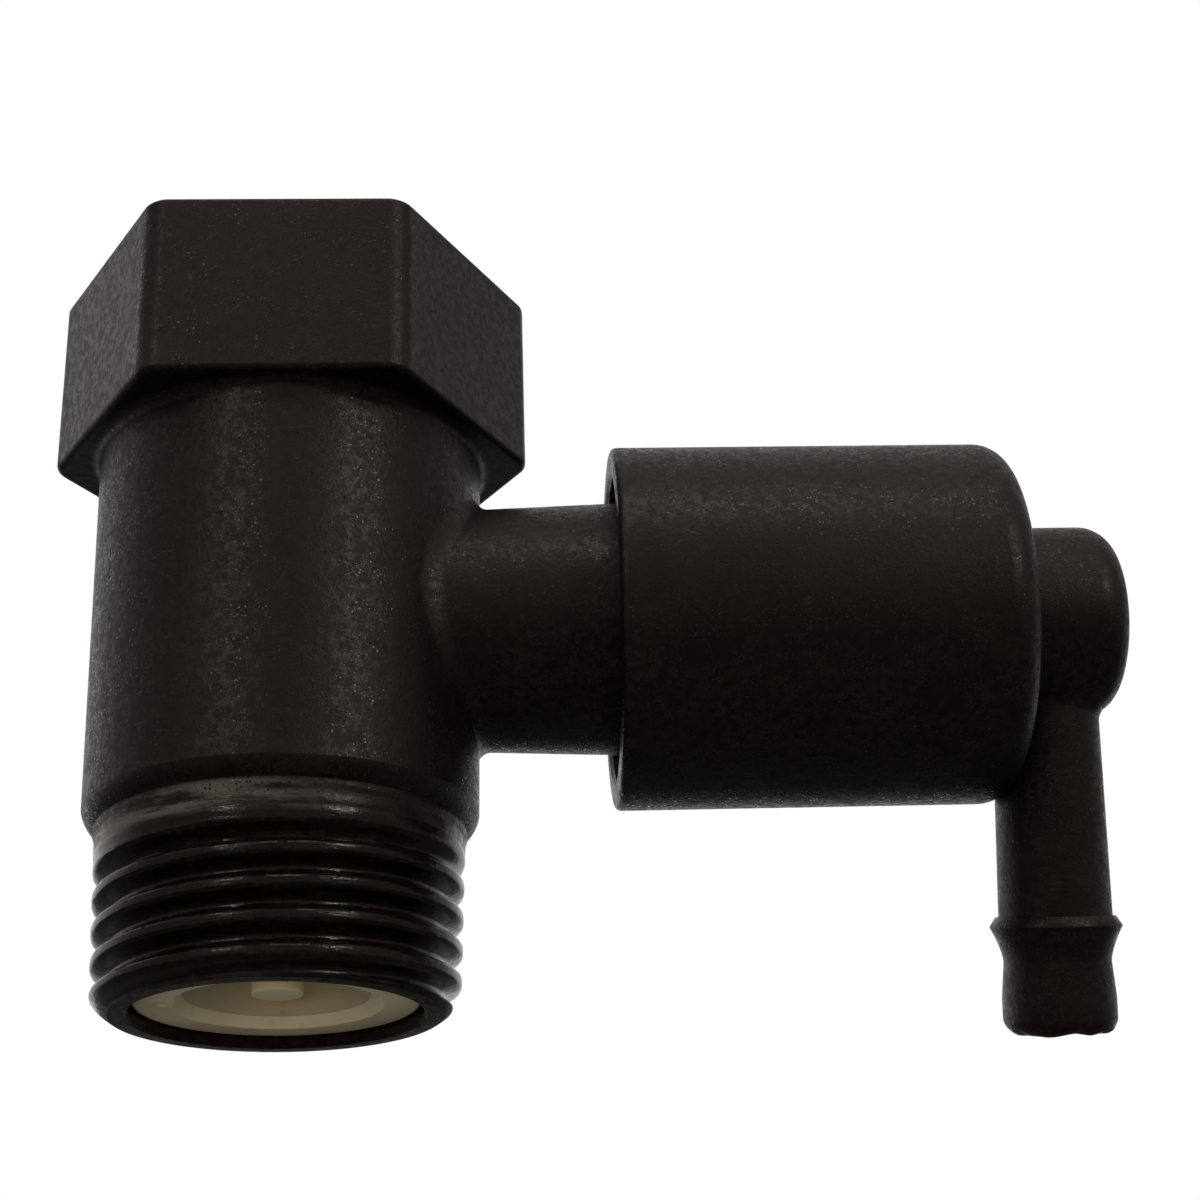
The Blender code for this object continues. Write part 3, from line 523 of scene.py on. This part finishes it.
def bodyOutside():
    cove = (barrelRadius(hexagon["low"]) + barrel["cove"], hexagon["low"] - barrel["cove"])
    insideHex = (hexagon["low"] + hexagon["high"]) / 2
    edge, turnIn = shoulder["edge"], shoulder["roundRadius"]
    lean = radians(shoulder["lean"])
    center = (barrelRadius(edge) - turnIn * cos(lean), edge + turnIn * sin(lean))
    profile = [(0, insideHex), (cove[0], insideHex)] + corner(cove, barrel["cove"], 90, 180, 10)
    for i in range(1, barrel["rows"]):
        z = cove[1] + (edge - cove[1]) * i / barrel["rows"]
        profile.append((barrelRadius(z), z))
    profile += [
        (barrelRadius(edge), edge),
        *corner(center, turnIn, -shoulder["lean"] - shoulder["leanGap"], -shoulder["fall"]),
        (shoulder["ridge"], shoulder["ridgeHigh"]),
        (shoulder["ridge"], shoulder["ridgeLow"]),
    ]
    rows = round(maleThread["top"] / maleThread["row"])
    for i in range(rows, 0, -1):
        profile.append((maleThread["crest"], maleThread["top"] * i / rows))
    rim = barrel["inletBore"] + barrel["rimRound"]
    return profile + [(maleThread["startRadius"], 0), (rim, 0), (0, 0)]


def hexagonBlock():
    shape = bmesh.new()
    reach = hexagon["across"] / sqrt(3)
    height = hexagon["high"] - hexagon["low"]
    place = Matrix.Translation((0, 0, hexagon["low"] + height / 2)) @ Matrix.Rotation(pi / 6, 4, "Z")
    bmesh.ops.create_cone(
        shape, cap_ends=True, segments=6, radius1=reach, radius2=reach, depth=height, matrix=place
    )
    upright = [e for e in shape.edges if abs(e.verts[0].co.z - e.verts[1].co.z) > height / 2]
    bmesh.ops.bevel(
        shape, geom=upright, offset=hexagon["cornerRound"] * sqrt(1 / 3), segments=10,
        profile=0.5, affect="EDGES", material=-1
    )
    rims = [e for e in shape.edges if abs(e.verts[0].co.z - e.verts[1].co.z) < hair]
    bmesh.ops.bevel(
        shape, geom=rims, offset=hexagon["edgeRound"], segments=5, profile=0.5, affect="EDGES", material=-1
    )
    bmesh.ops.recalc_face_normals(shape, faces=shape.faces)
    return shape


def branchBlock():
    # turned about the branch's axis; the rings of the fillet are then lifted onto the round body
    start, end = neck["headStart"], neck["headEnd"]
    outer, edge = neck["headRadius"], neck["headRound"]
    grooveLow = (start + end) / 2 - neck["grooveHalf"]
    grooveHigh = grooveLow + 2 * neck["grooveHalf"]
    lipOuter = neck["port"] + neck["lipWidth"]
    lipTop = end + neck["lip"]
    root = neck["radius"] + neck["fillet"]
    profile = [(0, -neck["rootDepth"]), (root, -neck["rootDepth"])]
    for i in range(neck["filletSteps"] + 1):
        turn = pi / 2 * i / neck["filletSteps"]
        lift = neck["fillet"] * (1 - cos(turn)) - neck["sink"]
        profile.append((root - neck["fillet"] * sin(turn), lift))
    profile += [
        (neck["radius"] + neck["draft"] * (start - barrel["radius"]), start),
        *corner((outer - edge, start + edge), edge, -90, 0),
        (outer, grooveLow), (neck["groove"], grooveLow),
        (neck["groove"], grooveHigh), (outer, grooveHigh),
        *corner((outer - edge, end - edge), edge, 0, 90),
        (lipOuter, end), (lipOuter - neck["lipWidth"] / 4, lipTop), (0, lipTop),
    ]
    shape = spin(profile, neck["steps"])
    bmesh.ops.transform(shape, matrix=branchPlace, verts=shape.verts)
    for vert in shape.verts:
        if vert.co.x < neck["fillet"] + hair:
            vert.co.x += sqrt(barrelRadius(vert.co.z) ** 2 - vert.co.y ** 2)
    return shape


def cutSocketThread(shape):
    top = hexagon["high"]
    floor = top - socket["depth"]
    for vert in shape.verts:
        x, y, z = vert.co
        radius = hypot(x, y)
        if not floor - hair < z < top - hair or radius < socket["cutFrom"]:
            continue
        crest = socket["minor"] - socket["taper"] * (top - z)
        turn = z / socket["pitch"] - atan2(y, x) / (2 * pi)
        fade = min(max((z - floor) / socket["runOut"], 0), 1)
        cut = crest + socket["threadDepth"] * threadShare(turn + 0.5, socket) * fade
        mouth = socket["minor"] + socket["chamfer"] - (top - z)
        new = max(cut, mouth, crest)
        vert.co.x *= new / radius
        vert.co.y *= new / radius


def waterway():
    top, bore, passage = hexagon["high"], barrel["inletBore"], barrel["passage"]
    floor = top - socket["depth"]
    minorEnd = socket["minor"] - socket["taper"] * socket["depth"]
    mouth = socket["minor"] + socket["chamfer"]
    rim = bore + barrel["rimRound"]
    rows = round(socket["depth"] / socket["row"])
    profile = [(0, top + past), (mouth + past, top + past), (mouth, top)]
    profile += [(socket["minor"], top - socket["depth"] * i / rows) for i in range(1, rows + 1)]
    profile += [
        (passage, floor - (minorEnd - passage)), (passage, barrel["inletDepth"]),
        (bore, barrel["inletDepth"]), (bore, barrel["rimRound"]),
        (rim, 0), (rim + past, -past), (0, -past),
    ]
    shape = spin(profile, barrel["steps"])
    cutSocketThread(shape)
    return shape


def mouldedBody():
    outside = spin(bodyOutside(), barrel["steps"])
    cutMaleThread(outside)
    body = piece("moulded_body", outside)
    combine(body, hexagonBlock(), "UNION")
    combine(body, branchBlock(), "UNION")
    combine(body, waterway(), "DIFFERENCE")
    port, start, end = neck["port"], neck["portStart"], neck["portEnd"]
    drill = [(0, end), (port, end), (port, start), (0, start)]
    combine(body, spin(drill, 64, branchPlace), "DIFFERENCE")
    smooth(body)
    dress(body, "body", "black_nylon", bodyNylon, "valve_body")


mouldedBody()
print("body moulded")


# Outlet: cap, hub and barbed hose tail in one moulding

outlet = dict(
    start=capLow.x, end=43.2 * mm, radius=10.9 * mm, bore=9.2 * mm, boreEnd=41.2 * mm, boreEdge=0.2 * mm,
    endRound=2.0 * mm, rimRound=0.35 * mm, ringLow=20.1 * mm, ringHigh=21.9 * mm, ringRadius=9.9 * mm,
    hubRadius=5.8 * mm, hubEnd=capHigh.x, hubRound=2.05 * mm, hubBore=2.2 * mm, steps=256,
)
tail = dict(
    middle=45.54 * mm, radius=3.16 * mm, swell=0.19 * mm, length=24.45 * mm, tipRound=0.9 * mm,
    bore=1.9 * mm, boreEdge=0.2 * mm, fillet=0.5 * mm, filletSteps=8, sink=0.06 * mm,
    barb=17.95 * mm, barbRadius=3.89 * mm, barbEdge=0.32 * mm, barbRound=0.07 * mm,
    barbTaper=2.35 * mm, hollow=1.5, hollowSteps=12,
    collar=0.22 * mm, collarLength=0.3 * mm, collarEdge=0.06 * mm,
    ragged=0.24 * mm, raggedDepth=0.35 * mm, raggedScale=800, steps=112,
)


def hubRadiusAt(x):
    # the outside of the hub, seen along the branch, with its rounded end
    over = x - (outlet["hubEnd"] - outlet["hubRound"])
    if over <= 0:
        return outlet["hubRadius"]
    return outlet["hubRadius"] - outlet["hubRound"] + sqrt(max(outlet["hubRound"] ** 2 - over ** 2, 0))


def barbTaper():
    # a hollow curve from the barb's edge back to the tube
    radius, edge = tail["radius"], tail["barbEdge"]
    points = []
    for i in range(tail["hollowSteps"] + 1):
        share = i / tail["hollowSteps"]
        reach = radius + (tail["barbRadius"] - radius) * (1 - share) ** tail["hollow"]
        points.append((reach, tail["barb"] + edge + (tail["barbTaper"] - edge) * share))
    return points


def hoseTail(place):
    barb, end, fillet, tip = tail["barb"], tail["length"], tail["fillet"], tail["tipRound"]
    swollen = tail["radius"] + tail["swell"]
    collar, collarLow = swollen + tail["collar"], barb - tail["collarLength"]
    waist = barb + tail["barbTaper"]
    profile = [(0, 0), (tail["radius"] + fillet, 0)]
    for i in range(tail["filletSteps"] + 1):
        turn = pi / 2 * i / tail["filletSteps"]
        profile.append((tail["radius"] + fillet * (1 - sin(turn)), hair + fillet * (1 - cos(turn))))
    profile += [
        (swollen, collarLow), (collar - tail["collarEdge"], collarLow),
        (collar, collarLow + tail["collarEdge"]),
        (tail["barbRadius"], barb + tail["barbEdge"] - tail["barbRound"]),
        *barbTaper(),
        (swollen, waist + (end - waist) / 2),
        *corner((swollen - tip, end - tip), tip, 0, 90),
        (0, end),
    ]
    shape = spin(profile, tail["steps"])
    for vert in shape.verts:
        if hair / 2 < vert.co.z < fillet + 2 * hair:                 # the flare follows the round hub
            hub = hubRadiusAt(tail["middle"] - vert.co.x)
            vert.co.z += sqrt(max(hub ** 2 - vert.co.y ** 2, 0)) - tail["sink"]
        elif vert.co.z > end - tail["raggedDepth"]:                  # the tip is ragged, as trimmed by hand
            vert.co.z += tail["ragged"] * noise.noise(vert.co * tail["raggedScale"])
    bmesh.ops.transform(shape, matrix=place, verts=shape.verts)
    return shape


def outletOutside():
    hub, edge, rim = outlet["hubRound"], outlet["endRound"], outlet["rimRound"]
    return [
        (0, outlet["hubEnd"]),
        *corner((outlet["hubRadius"] - hub, outlet["hubEnd"] - hub), hub, 90, 0, 16),
        (outlet["hubRadius"], outlet["end"]),
        *corner((outlet["radius"] - edge, outlet["end"] - edge), edge, 90, 0, 16),
        *corner((outlet["radius"] - rim, outlet["start"] + rim), rim, 0, -90, 6),
        (0, outlet["start"]),
    ]


def outletCavity():
    # the spring's room, with a groove for the snap ring near the mouth, and a bore into the hub
    bore, start, edge = outlet["bore"], outlet["start"], outlet["boreEdge"]
    top = tail["middle"] + tail["bore"]
    return [
        (0, top), (outlet["hubBore"], top), (outlet["hubBore"], outlet["boreEnd"]),
        (bore, outlet["boreEnd"]), (bore, outlet["ringHigh"]),
        (outlet["ringRadius"], outlet["ringHigh"]), (outlet["ringRadius"], outlet["ringLow"]),
        (bore, outlet["ringLow"]), (bore, start + edge),
        (bore + edge, start), (bore + edge, start - past), (0, start - past),
    ]


def tailBore():
    bore, edge, end = tail["bore"], tail["boreEdge"], tail["length"]
    return [
        (0, end + past), (bore + edge + past, end + past),
        (bore + edge, end), (bore, end - edge), (bore, 0), (0, 0),
    ]


def outletMoulding():
    down = outletPlace @ Matrix.Translation((0, 0, tail["middle"])) @ Matrix.Rotation(pi / 2, 4, "Y")
    cap = piece("outlet_moulding", spin(outletOutside(), outlet["steps"], outletPlace))
    combine(cap, hoseTail(down), "UNION")
    combine(cap, spin(outletCavity(), outlet["steps"], outletPlace), "DIFFERENCE")
    combine(cap, spin(tailBore(), 64, down), "DIFFERENCE")
    smooth(cap)
    dress(cap, "outlet", "black_nylon", capNylon, "outlet_cap")


outletMoulding()
print("outlet moulded")


# Check cartridge in the inlet bore: seat ring and poppet

ringLow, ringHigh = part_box("check_seat_ring")
poppetLow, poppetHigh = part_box("check_poppet")
cartridge = dict(
    outer=ringHigh.x + 0.12 * mm,      # the solid keeps a wider gap to the bore
    edge=0.3 * mm, dish=5.9 * mm, dishDepth=2.2 * mm, bore=5.2 * mm,
    lipLevel=2.75 * mm, lipWidth=0.5 * mm, lipHeight=0.2 * mm, cage=7.1 * mm,
    groove=6.74 * mm, grooveHalf=0.56 * mm, grooveLevel=1.42 * mm,
    gate=6.35 * mm, gateTurn=187, gateRadius=0.36 * mm, gateDepth=0.7 * mm, steps=192,
)
poppet = dict(
    nose=5.18 * mm, boss=1.46 * mm, bossRound=0.12 * mm, bossFoot=0.25 * mm,
    neck=3.8 * mm, flange=6.2 * mm, flangeLow=4.8 * mm, flangeHigh=5.6 * mm,
    stem=1.3 * mm, stemEnd=poppetHigh.z, stemEdge=0.3 * mm, steps=160,
)


def dishLevel(radius):
    # height of the dished face that the seat ring and the poppet share
    sphere = (cartridge["dish"] ** 2 + cartridge["dishDepth"] ** 2) / (2 * cartridge["dishDepth"])
    return ringLow.z + cartridge["dishDepth"] - sphere + sqrt(sphere ** 2 - radius ** 2)


def dished(start, end, steps):
    radii = [start + (end - start) * i / steps for i in range(steps + 1)]
    return [(r, dishLevel(r)) for r in radii]


def gateDimple():
    # the sunk mark that the moulding gate leaves in the ring's face
    turn = radians(cartridge["gateTurn"])
    place = Matrix.Translation((cartridge["gate"] * cos(turn), cartridge["gate"] * sin(turn), ringLow.z))
    stretch = Matrix.Diagonal((1, 1, cartridge["gateDepth"] / cartridge["gateRadius"], 1))
    shape = bmesh.new()
    bmesh.ops.create_uvsphere(
        shape, u_segments=24, v_segments=16, radius=cartridge["gateRadius"], matrix=place @ stretch
    )
    return shape


def seatRing():
    edge, outer, bore = cartridge["edge"], cartridge["outer"], cartridge["bore"]
    lipTop = ringLow.z + cartridge["lipLevel"]
    lipFoot = lipTop - cartridge["lipHeight"]
    lipInner = bore + cartridge["lipWidth"] / 2
    lipOuter = lipInner + cartridge["lipWidth"]
    grooveLow = ringLow.z + cartridge["grooveLevel"] - cartridge["grooveHalf"]
    grooveHigh = ringLow.z + cartridge["grooveLevel"] + cartridge["grooveHalf"]
    shape = spin([
        (outer, ringHigh.z), (outer, grooveHigh), (cartridge["groove"], grooveHigh),
        (cartridge["groove"], grooveLow), (outer, grooveLow),
        *corner((outer - edge, ringLow.z + edge), edge, 0, -90, 5),
        *dished(cartridge["dish"], bore, 6),
        (bore, lipTop - cartridge["lipWidth"] / 2), (lipInner, lipTop), (lipOuter, lipTop),
        (lipOuter + cartridge["lipHeight"], lipFoot),
        (cartridge["cage"], lipFoot), (cartridge["cage"], ringHigh.z),
    ], cartridge["steps"])
    ring = piece("seat_ring_moulding", shape)
    combine(ring, gateDimple(), "DIFFERENCE")
    smooth(ring)
    dress(ring, "body", "ivory_acetal", ivoryAcetal, "check_seat_ring")


def poppetMoulding():
    boss, foot, nose, edge = poppet["boss"], poppet["bossFoot"], poppet["nose"], poppet["bossRound"]
    stem, stemEnd, stemEdge = poppet["stem"], poppet["stemEnd"], poppet["stemEdge"]
    lipTop = ringLow.z + cartridge["lipLevel"]
    inner = boss + foot
    shape = spin([
        (0, stemEnd), (stem - stemEdge, stemEnd), (stem, stemEnd - stemEdge), (stem, poppet["flangeHigh"]),
        (poppet["flange"], poppet["flangeHigh"]), (poppet["flange"], poppet["flangeLow"]),
        (poppet["neck"], poppet["flangeLow"]), (poppet["neck"], lipTop), (nose, lipTop),
        *dished(nose, inner, 20),
        *corner((inner, dishLevel(inner) - foot), foot, 90, 180, 5)[1:],
        *corner((boss - edge, poppetLow.z + edge), edge, 0, -90, 5),
        (0, poppetLow.z),
    ], poppet["steps"])
    moulding = piece("poppet_moulding", shape)
    smooth(moulding)
    dress(moulding, "poppet", "ivory_acetal", poppetShadeAndHighlightAcetal, "check_poppet")


seatRing()
poppetMoulding()
print("seat ring and poppet moulded")


# Springs: the light one above the poppet and the stiff one in the cap

checkCoil = dict(wire=0.25 * mm, turns=4.5)
reliefCoil = dict(wire=0.55 * mm, turns=4.0)


def coil(radius, wire, length, turns, sides=14, perTurn=56):
    # a wire ring swept up in three runs: a closed turn, the open turns and a closed turn
    shape = bmesh.new()
    section = Matrix.Translation((radius, 0, wire)) @ Matrix.Rotation(pi / 2, 4, "X")
    bmesh.ops.create_circle(shape, cap_ends=False, segments=sides, radius=wire, matrix=section)
    front = shape.verts[:] + shape.edges[:]
    closed = 2.06 * wire               # the closed turns lie just clear of each other
    runs = [(1, closed), (turns - 2, length - 2 * wire - 2 * closed), (1, closed)]
    for count, rise in runs:
        steps = round(count * perTurn)
        swept = bmesh.ops.spin(
            shape, geom=front, cent=(0, 0, 0), axis=(0, 0, 1), angle=2 * pi * count, steps=steps,
            dvec=(0, 0, rise / steps)
        )
        front = swept["geom_last"]
    bmesh.ops.remove_doubles(shape, verts=shape.verts, dist=mergeGap)
    bmesh.ops.holes_fill(shape, edges=[e for e in shape.edges if e.is_boundary])
    bmesh.ops.recalc_face_normals(shape, faces=shape.faces)
    return shape


def spring(name, node, joint, wire, turns):
    # fills its solid's box, wound along its joint's axis
    low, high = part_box(node)
    along = Vector(joints[joint]["axis"])
    length = (high - low).dot(along)
    radius = (high.y - low.y) / 2 - wire
    foot = (low + high) / 2 - along * length / 2
    place = Matrix.Translation(foot) @ along.to_track_quat("Z", "Y").to_matrix().to_4x4()
    shape = coil(radius, wire, length, turns)
    bmesh.ops.transform(shape, matrix=place, verts=shape.verts)
    wound = piece(name, shape)
    smooth(wound, 40, weighted=False)
    dress(wound, "body", "spring_steel", springSteel, node)
    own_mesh(wound)


spring("check_coil", "check_spring", "check_lift", **checkCoil)
spring("relief_coil", "relief_spring", "relief_lift", **reliefCoil)
print("springs wound")


# Every solid that stays gets its node finish
for subpart in frame["record"]["subparts"]:
    for slot in frame["nodes"][subpart["node"]].material_slots:
        slot.material = slotFinish[subpart["material_slot"]]
print("solids finished")


# Floor, light and camera

studio = dict(
    floorDrop=0.22, floorSize=3.0, floorRough=0.9, floorSeen=(0.90, 0.90, 0.89, 1),
    floorFelt=(0.14, 0.137, 0.131, 1), floorGlow=0.26,
    color=(1.0, 0.96, 0.92, 1), room=0.30, backdrop=(-0.25, 0.75), white=(0.45, 0.85),
    sides=(0.85, 0.36), overhead=0.36, overheadSpan=(0.3, 1), lampAway=0.42,
)
lamps = [
    dict(name="left window", turn=-31, rise=24, width=0.075, height=0.10, power=0.18, mirrored=True),
    dict(name="right window", turn=41, rise=24, width=0.075, height=0.10, power=0.36, mirrored=True),
    dict(name="ceiling lamp", turn=6, rise=58, width=0.20, height=0.07, power=0.27, mirrored=True),
    dict(name="low fill", turn=-12, rise=-15, width=0.22, height=0.08, power=0.34, mirrored=False),
]
lens = dict(
    place=(0.01227, -0.11653, -0.02641), turn=(113.780, 1.894, -2.347),
    focal=63.115, sensor=36, nearest=0.005,
)


def studioWorld():
    # plain white for the camera; the object receives a backdrop behind it and a dimmer room in front
    world = bpy.data.worlds.new("studio")
    scene.world = world
    sky = NodeTools(world)
    direction = sky.split(sky.nodes.new("ShaderNodeTexCoord").outputs["Generated"])
    behind = sky.ramp(direction["Y"], 0, 1, *studio["backdrop"])
    side = sky.ramp(direction["X"], *studio["sides"], -1, 1)
    above = sky.ramp(direction["Z"], 0, studio["overhead"], *studio["overheadSpan"])
    level = sky.maths("MAXIMUM", sky.times(behind, side), above)
    level = sky.ramp(level, studio["room"], 1)
    rays = sky.nodes.new("ShaderNodeLightPath").outputs
    mirrored = sky.maths("MAXIMUM", rays["Is Glossy Ray"], rays["Is Transmission Ray"])
    white = sky.ramp(direction["Y"], 0, 1, *studio["white"])      # gloss and glass show the white behind, too
    seen = sky.maths("MAXIMUM", rays["Is Camera Ray"], sky.times(mirrored, white))
    background = sky.nodes["Background"]
    sky.join(sky.mix(seen, studio["color"], (1, 1, 1, 1)), background.inputs["Color"])
    sky.join(sky.maths("MAXIMUM", level, seen), background.inputs["Strength"])


def paleFloor():
    # pale for the camera and through glass, darker in gloss and for the light that it sends back up
    shape = bmesh.new()
    bmesh.ops.create_grid(
        shape, x_segments=8, y_segments=8, size=studio["floorSize"] / 2,
        matrix=Matrix.Translation((0, 0, -studio["floorDrop"]))
    )
    floor = piece("studio_floor", shape)
    finish = Finish("pale floor")
    rays = finish.nodes.new("ShaderNodeLightPath").outputs
    seen = finish.maths("MAXIMUM", rays["Is Camera Ray"], rays["Is Transmission Ray"])
    finish.give("Base Color", finish.mix(seen, studio["floorFelt"], studio["floorSeen"]))
    finish.give("Roughness", studio["floorRough"])
    finish.give("Emission Color", (1, 1, 1, 1))
    finish.give("Emission Strength", finish.times(rays["Is Camera Ray"], studio["floorGlow"]))
    floor.data.materials.append(finish.material)


def softLamp(lamp):
    light = bpy.data.lights.new(lamp["name"], "AREA")
    light.shape = "RECTANGLE"
    light.size = lamp["width"]
    light.size_y = lamp["height"]
    light.energy = lamp["power"]
    light.color = studio["color"][:3]
    obj = bpy.data.objects.new(lamp["name"], light)
    middle = (cadBox[0] + cadBox[1]) / 2
    turn, rise = radians(lamp["turn"]), radians(lamp["rise"])
    toward = Vector((sin(turn) * cos(rise), -cos(turn) * cos(rise), sin(rise)))
    obj.location = middle + toward * studio["lampAway"]
    obj.rotation_euler = (-toward).to_track_quat("-Z", "Y").to_euler()
    obj.visible_glossy = lamp["mirrored"]
    scene.collection.objects.link(obj)


def photoCamera():
    camera = bpy.data.cameras.new("camera")
    camera.lens = lens["focal"]
    camera.sensor_width = lens["sensor"]
    camera.clip_start = lens["nearest"]
    obj = bpy.data.objects.new("camera", camera)
    obj.location = lens["place"]
    obj.rotation_euler = [radians(angle) for angle in lens["turn"]]
    scene.collection.objects.link(obj)
    scene.camera = obj


studioWorld()
paleFloor()
for lamp in lamps:
    softLamp(lamp)
photoCamera()
scene.view_settings.view_transform = "Standard"
print("studio set")
